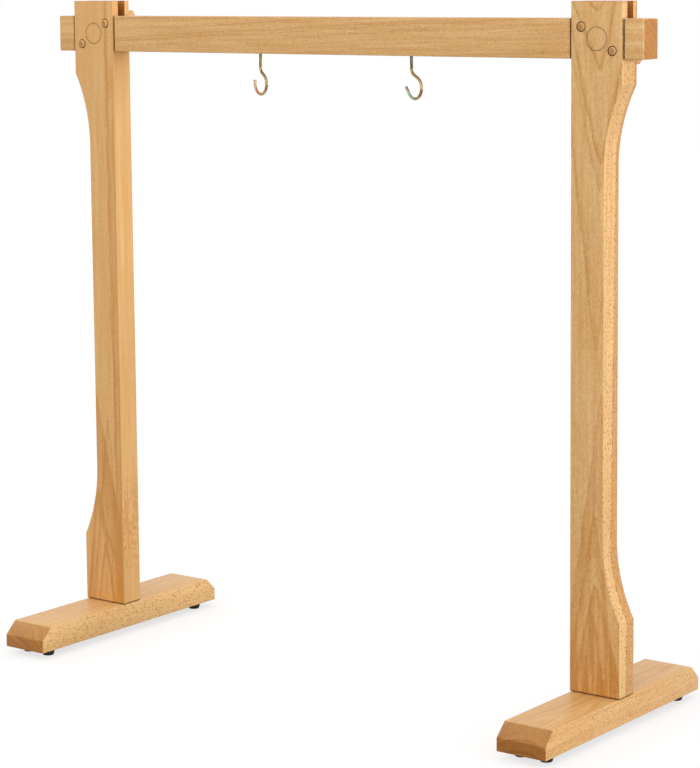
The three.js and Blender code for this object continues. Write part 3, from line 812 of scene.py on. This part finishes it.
INSERT_LENGTH, INSERT_RADIUS, INSERT_BORE = 20 * MM, 6 * MM, 4.3 * MM
INSERT_THREAD_LOW, INSERT_THREAD_HIGH = 1.2 * MM, INSERT_LENGTH - 1.2 * MM
INSERT_THREAD_DEPTH, INSERT_PITCH = 0.9 * MM, 4 * MM
INSERT_OUTLINE = [
    (0, 0), (5.2 * MM, 0), (5.2 * MM, 0.8 * MM), (INSERT_RADIUS, INSERT_THREAD_LOW),
    (INSERT_RADIUS, INSERT_THREAD_HIGH), (5.2 * MM, INSERT_LENGTH), (0, INSERT_LENGTH),
]
insert_blank = threaded(
    "insert_blank", INSERT_OUTLINE, INSERT_THREAD_LOW, INSERT_THREAD_HIGH, INSERT_RADIUS,
    INSERT_THREAD_DEPTH, INSERT_PITCH,
)
cut(insert_blank, rod("bore", (0, 0, -OVERRUN), (0, 0, INSERT_LENGTH + OVERRUN), INSERT_BORE))
smooth(insert_blank, 35)

brass = Finish(bpy.data.materials.new("plain_brass"))
brass_place = brass.node("TexCoord", output="Object")
tarnish = brass.node("TexNoise", None, {"Vector": brass_place, "Scale": 240.0, "Detail": 4.0})
turning_place = brass.node("Mapping", None, {"Vector": brass_place, "Scale": (300, 300, 5000)})
turning = brass.node("TexNoise", None, {"Vector": turning_place, "Scale": 1.0, "Detail": 2.0}) - 0.5
brass.shade(
    Base_Color=brass.colour(
        tarnish.between(0.4, 0.75), (0.66, 0.46, 0.18, 1), (0.46, 0.30, 0.12, 1)
    ),
    Metallic=1.0,
    Roughness=0.3 + tarnish * 0.2,
    Normal=brass.node("Bump", None, {"Strength": 0.12, "Distance": 0.05 * MM, "Height": turning}),
)
for blank, finish in ((bolt_blank, steel), (washer_blank, steel), (insert_blank, brass)):
    blank.data.materials.append(finish.owner)
for side in SIDES:
    for place in ("inner", "outer"):
        for blank, part, slot, seat in (
            (bolt_blank, "bolt", "steel", BOLT_HEAD_HEIGHT),
            (washer_blank, "washer", "steel", 0),
            (insert_blank, "insert", "brass", 0),
        ):
            low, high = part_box(f"{side}_{part}_{place}")
            under = Vector(((low.x + high.x) / 2, (low.y + high.y) / 2, low.z + seat))
            fastener = placed(blank, under)
            fastener.name = f"{side}_foot_{part}_{place}"
            hand_over(fastener, "stand", slot, f"{side}_{part}_{place}")
for blank in (bolt_blank, washer_blank, insert_blank):
    bpy.data.objects.remove(blank)


# Crossbar: one beech board, let in from both faces where it passes the posts, so that a
# tenon is left in the slot. Its shoulders are chamfered and stand 3 mm off the posts.
SHOULDER_GAP, SHOULDER_CHAMFER, TENON_PLAY = 3 * MM, 2 * MM, 0.4 * MM
BAR_ROUND, BAR_END_ROUND = 1.4 * MM, 2.5 * MM
HOOK_PILOT_RADIUS, HOOK_PILOT_DEPTH = 3.15 * MM, 40.4 * MM
HOOK_X = {"left": -172.5 * MM, "right": 172.5 * MM}

bar = block("crossbar_board", bar_low, bar_high)
bar_middle = (bar_low + bar_high) / 2
round_edges(bar, lambda a, b: BAR_ROUND if abs(a.x - b.x) > 100 * MM else BAR_END_ROUND, 4)
bar_under, bar_over = bar_low.z - OVERRUN, bar_high.z + OVERRUN
for side in SIDES:
    low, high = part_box(f"{side}_post")
    slot_front = low.y + FRONT_CHEEK
    shoulders = (low.x - SHOULDER_GAP, high.x + SHOULDER_GAP)
    for near, far, face in (
        (bar_low.y - OVERRUN, slot_front + TENON_PLAY, bar_low.y),
        (slot_front + SLOT_WIDTH - TENON_PLAY, bar_high.y + OVERRUN, bar_high.y),
    ):
        recess_ends = (shoulders[0], near, bar_under), (shoulders[1], far, bar_over)
        cut(bar, block("recess", *recess_ends))
        for x in shoulders:
            cut(bar, rod("chamfer", (x, face, bar_under), (x, face, bar_over), SHOULDER_CHAMFER, 4))
    for pin, hole_radius in pin_holes(side):
        hole_ends = (pin.x, low.y - OVERRUN, pin.z), (pin.x, high.y + OVERRUN, pin.z)
        cut(bar, rod("hole", *hole_ends, hole_radius))
for x in HOOK_X.values():
    top = (x, 0, bar_low.z + HOOK_PILOT_DEPTH)
    cut(bar, rod("pilot", (x, 0, bar_under), top, HOOK_PILOT_RADIUS, 24))
smooth(bar)
post_low, post_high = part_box("right_post")
let_in = ((post_low.x + post_high.x) / 2, (post_high.x - post_low.x) / 2 + SHOULDER_GAP)
# The crossbar is painted dark where it is let into the posts, as the shade in the shoulder gaps.
bar_beech = beech(
    "crossbar_beech", bar_middle, (1, 0, 0), (0, 0, 1), heart=(-100, 60), lean=(0.055, 0.02),
    ring_gap=2.7, rings=0.3, seed=5, tones=(-0.06, 0, 0, -0.04, 0),
    face_rays=(7, 1.7, 0.28, 0.42), ends=(0.75, 0.95), seat=[value / MM for value in let_in],
)
bar.data.materials.append(bar_beech.owner)
hand_over(bar, "stand", "beech", "crossbar")


# Keys: a short beech bar on the back of each post, with two beech dowels glued through it.
# They slide forward through post and tenon, so the slanting pair locks the joint.
PIN_RUN, PIN_RISE = 61, 40
KEY_TURN, KEY_HOLE_SPACING = math.atan2(PIN_RISE, PIN_RUN), math.hypot(PIN_RUN, PIN_RISE) * MM
KEY_LENGTH, KEY_WIDTH, KEY_THICKNESS, KEY_ROUND = 120 * MM, 28 * MM, 20 * MM, 1.5 * MM
KEY_HOLE_RADIUS, PIN_RADIUS = 7.55 * MM, 7.25 * MM
PIN_FRONT_CHAMFER, PIN_BACK_CHAMFER = 2.5 * MM, 0.4 * MM

dowel = Finish(bpy.data.materials.new("beech_dowel"))
dowel_place = dowel.node("TexCoord", output="Object")
along_grain = dowel.node("Mapping", None, {"Vector": dowel_place, "Scale": (900, 30, 900)})
fibres = dowel.node("TexNoise", None, {"Vector": along_grain, "Scale": 1.0, "Detail": 3.0}) - 0.5
aslant = {"Vector": dowel_place, "Scale": (1, 0.02, 1), "Rotation": (0, 0.5, 0)}
growth = {"Vector": dowel.node("Mapping", None, aslant), "Scale": 110.0, "Distortion": 2.5}
growth = dowel.node("TexWave", {"wave_type": "BANDS", "bands_direction": "X"}, growth)
facing = dowel.node("TexCoord", output="Normal")
on_end = dowel.node("VectorMath", {"operation": "DOT_PRODUCT"}, {0: facing, 1: (0, 1, 0)}, 1)
on_end = on_end.math("ABSOLUTE").between(0.8, 0.97)
dowel_side = dowel.colour(0.4 + fibres * 0.7, (0.74, 0.44, 0.17, 1), (0.54, 0.27, 0.085, 1))
dowel_cut = dowel.colour(growth * 0.6 + fibres, (0.52, 0.25, 0.08, 1), (0.33, 0.135, 0.035, 1))
dowel.shade(
    Base_Color=dowel.colour(on_end, dowel_side, dowel_cut),
    Roughness=0.5 + on_end * 0.15,
    Normal=dowel.node("Bump", None, {"Strength": 0.3, "Distance": 0.2 * MM, "Height": fibres}),
)

for side, sign in SIDES.items():
    low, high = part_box(f"{side}_key_bar")
    seat = Vector(((low.x + high.x) / 2, low.y, (low.z + high.z) / 2))
    slant = Matrix.Rotation(sign * KEY_TURN, 4, "Y")
    half = Vector((KEY_LENGTH, 0, KEY_WIDTH)) / 2
    key_bar = block(f"{side}_key_board", -half, half + Vector((0, KEY_THICKNESS, 0)))
    round_edges(key_bar, lambda a, b: KEY_ROUND)
    for across in (-1, 1):
        x = across * KEY_HOLE_SPACING / 2
        hole_ends = (x, -OVERRUN, 0), (x, KEY_THICKNESS + OVERRUN, 0)
        cut(key_bar, rod("hole", *hole_ends, KEY_HOLE_RADIUS))
    smooth(key_bar)
    key_bar.matrix_world = Matrix.Translation(seat) @ slant
    settle(key_bar)
    key_beech = beech(
        f"{side}_key_beech", seat, slant @ Vector((1, 0, 0)), (0, 1, 0),
        heart=(30, sign * 50), seed=11 + sign, tones=(-0.1, 0, 0, 0, 0), ends=(0.85, 1.6),
    )
    key_bar.data.materials.append(key_beech.owner)
    hand_over(key_bar, f"{side}_key", "beech", f"{side}_key_bar")
    for place in ("inner", "outer"):
        low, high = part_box(f"{side}_key_pin_{place}")
        middle = (low + high) / 2
        pin_ends = (middle.x, low.y, middle.z), (middle.x, high.y, middle.z)
        pin = rod(f"{side}_key_dowel_{place}", *pin_ends, PIN_RADIUS, 64)

        def pin_edge(a, b):
            """The front end is chamfered more, so that it finds its hole."""
            return PIN_FRONT_CHAMFER if max(a.y, b.y) < low.y + MM else PIN_BACK_CHAMFER

        round_edges(pin, pin_edge, 1)
        smooth(pin, 30)
        pin.data.materials.append(dowel.owner)
        hand_over(pin, f"{side}_key", "dowel", f"{side}_key_pin_{place}")


# Screw hooks: steel wire bent cold and plated in yellow zinc, with a wood thread above. The
# two were bent by hand and screwed in by eye, so their shapes and turns differ a little.
WIRE_RADIUS, BEND_RADIUS, BOWL_RADIUS = 2.75 * MM, 11.3 * MM, 19.5 * MM
WIRE_STEP, TIP_CHAMFER = 1.6 * MM, 0.5 * MM
NECK, THREAD_RUN_IN = 6 * MM, 0.4 * MM
HOOK_THREAD_LENGTH, HOOK_THREAD_POINT, HOOK_THREAD_RADIUS = 34 * MM, 7 * MM, 2.4 * MM
HOOK_THREAD_DEPTH, HOOK_PITCH = 0.75 * MM, 2.4 * MM
# Each hook's straight lengths, with the angles of its bend, its bowl and its own turn.
HOOKS = {
    "left": {
        "shank": 27.2 * MM, "bend": 56, "slant": 7 * MM, "bowl": 231, "tip": 8.4 * MM,
        "turn": -18,
    },
    "right": {
        "shank": 23.6 * MM, "bend": 63.4, "slant": 12.6 * MM, "bowl": 207, "tip": 15.8 * MM,
        "turn": -16.4,
    },
}
ZINC_BLUSH = {"left": (0.66, 0.28, 0.19, 1), "right": (0.34, 0.50, 0.32, 1)}


def yellow_zinc(name, middle, bend, blush):
    """Zinc with a yellow passivate: brown on the shank, where a painted dark reflection darkens it,
    gold below, and a blush in the bowl.
    """
    zinc = Finish(bpy.data.materials.new(name))
    place = zinc.node("TexCoord", output="Object")
    height = zinc.node("SeparateXYZ", None, {0: place}, output=2) / MM
    clouds = zinc.node("TexNoise", None, {"Vector": place, "Scale": 90.0, "Detail": 2.0})
    streaks = zinc.node("TexNoise", None, {"Vector": place, "Scale": 420.0, "Detail": 3.0})
    runs = zinc.node("Mapping", None, {"Vector": place, "Scale": (520, 520, 30)})
    runs = zinc.node("TexNoise", None, {"Vector": runs, "Scale": 1.0, "Detail": 2.0})

    def near(across, up, reach):
        """1 close to a point by the bowl's middle and 0 from a reach on, with a cloudy edge."""
        ends = {0: place, 1: middle + Vector((across, 0, up)) * MM}
        away = zinc.node("VectorMath", {"operation": "DISTANCE"}, ends, output=1) / MM
        return (away + (clouds - 0.5) * 10).between(reach, reach * 0.5)

    tint = zinc.colour(streaks.between(0.3, 0.7), (0.38, 0.25, 0.08, 1), (0.52, 0.39, 0.17, 1))
    tint = zinc.colour(clouds.between(0.56, 0.68) * 0.6, tint, (0.40, 0.40, 0.28, 1))
    tint = zinc.colour(clouds.between(0.44, 0.36) * 0.6, tint, (0.30, 0.14, 0.05, 1))
    # The shank's dark brown is partly a painted dark reflection along the wire, over the
    # passivate's own brown runs.
    shank = zinc.colour(runs.between(0.42, 0.62), (0.06, 0.037, 0.02, 1), (0.30, 0.23, 0.11, 1))
    tint = zinc.colour(height.between(bend / MM - 4, bend / MM + 3), tint, shank)
    tint = zinc.colour(near(17, -8, 13), tint, (0.26, 0.11, 0.045, 1))
    tint = zinc.colour(near(-12, -15, 15), tint, blush)
    tint = zinc.colour(near(-19, 2, 10), tint, (0.40, 0.28, 0.17, 1))
    tint = zinc.colour(near(-20, 13, 9), tint, (0.20, 0.10, 0.05, 1))
    zinc.shade(
        Base_Color=tint,
        Metallic=1.0,
        Roughness=0.26 + streaks * 0.14,
        Normal=zinc.node("Bump", None, {"Strength": 0.1, "Distance": 0.1 * MM, "Height": streaks}),
    )
    return zinc


for side, shape in HOOKS.items():
    bend, bowl = math.radians(shape["bend"]), math.radians(shape["bowl"])
    bend_length, bowl_length = BEND_RADIUS * bend, BOWL_RADIUS * bowl
    slant_end = bend_length + shape["slant"]
    wire_length = shape["shank"] + slant_end + bowl_length + shape["tip"]
    bent_length = wire_length - shape["shank"]
    steps = round(bent_length / WIRE_STEP)
    hook_outline = [
        (0, -wire_length), (WIRE_RADIUS - TIP_CHAMFER, -wire_length),
        (WIRE_RADIUS, -wire_length + TIP_CHAMFER),
    ]
    for step in range(1, steps):
        hook_outline.append((WIRE_RADIUS, -wire_length + bent_length * step / steps))
    thread_low = NECK + THREAD_RUN_IN
    thread_high = NECK + HOOK_THREAD_LENGTH - HOOK_THREAD_POINT
    hook_outline += [
        (WIRE_RADIUS, -shape["shank"]), (WIRE_RADIUS, NECK), (HOOK_THREAD_RADIUS, thread_low),
        (HOOK_THREAD_RADIUS, thread_high), (0, NECK + HOOK_THREAD_LENGTH),
    ]
    hook = threaded(
        f"{side}_screw_hook", hook_outline, thread_low, thread_high, HOOK_THREAD_RADIUS,
        HOOK_THREAD_DEPTH, HOOK_PITCH,
    )
    bend_centre = Vector((BEND_RADIUS, 0, -shape["shank"]))
    bend_out = Vector((math.cos(bend), 0, math.sin(bend)))
    slant = Vector((math.sin(bend), 0, -math.cos(bend)))
    bowl_centre = bend_centre - (BEND_RADIUS + BOWL_RADIUS) * bend_out + shape["slant"] * slant
    for vertex in hook.data.vertices:
        past = -shape["shank"] - vertex.co.z
        side_step, depth_step = vertex.co.x, vertex.co.y
        if past <= 0:
            continue
        if past <= bend_length:
            angle = past / BEND_RADIUS
            outwards = Vector((math.cos(angle), 0, math.sin(angle)))
            place = bend_centre - (BEND_RADIUS - side_step) * outwards
        elif past <= slant_end:
            place = bend_centre - (BEND_RADIUS - side_step) * bend_out
            place = place + (past - bend_length) * slant
        else:
            angle = bend - min(past - slant_end, bowl_length) / BOWL_RADIUS
            outwards = Vector((math.cos(angle), 0, math.sin(angle)))
            straight = max(0, past - slant_end - bowl_length)
            place = bowl_centre + (BOWL_RADIUS + side_step) * outwards
            place += straight * Vector((math.sin(angle), 0, -math.cos(angle)))
        vertex.co = place + Vector((0, depth_step, 0))
    hook_turn = Matrix.Rotation(math.radians(shape["turn"]), 4, "Z")
    hook_place = Matrix.Translation((HOOK_X[side], 0, bar_low.z)) @ hook_turn
    hook.matrix_world = hook_place
    settle(hook)
    smooth(hook, 35)
    bowl_middle = hook_place @ bowl_centre
    bend_height = bar_low.z - shape["shank"]
    hook_zinc = yellow_zinc(f"{side}_yellow_zinc", bowl_middle, bend_height, ZINC_BLUSH[side])
    hook.data.materials.append(hook_zinc.owner)
    hand_over(hook, f"{side}_hook_body", "yellow_zinc", f"{side}_hook")
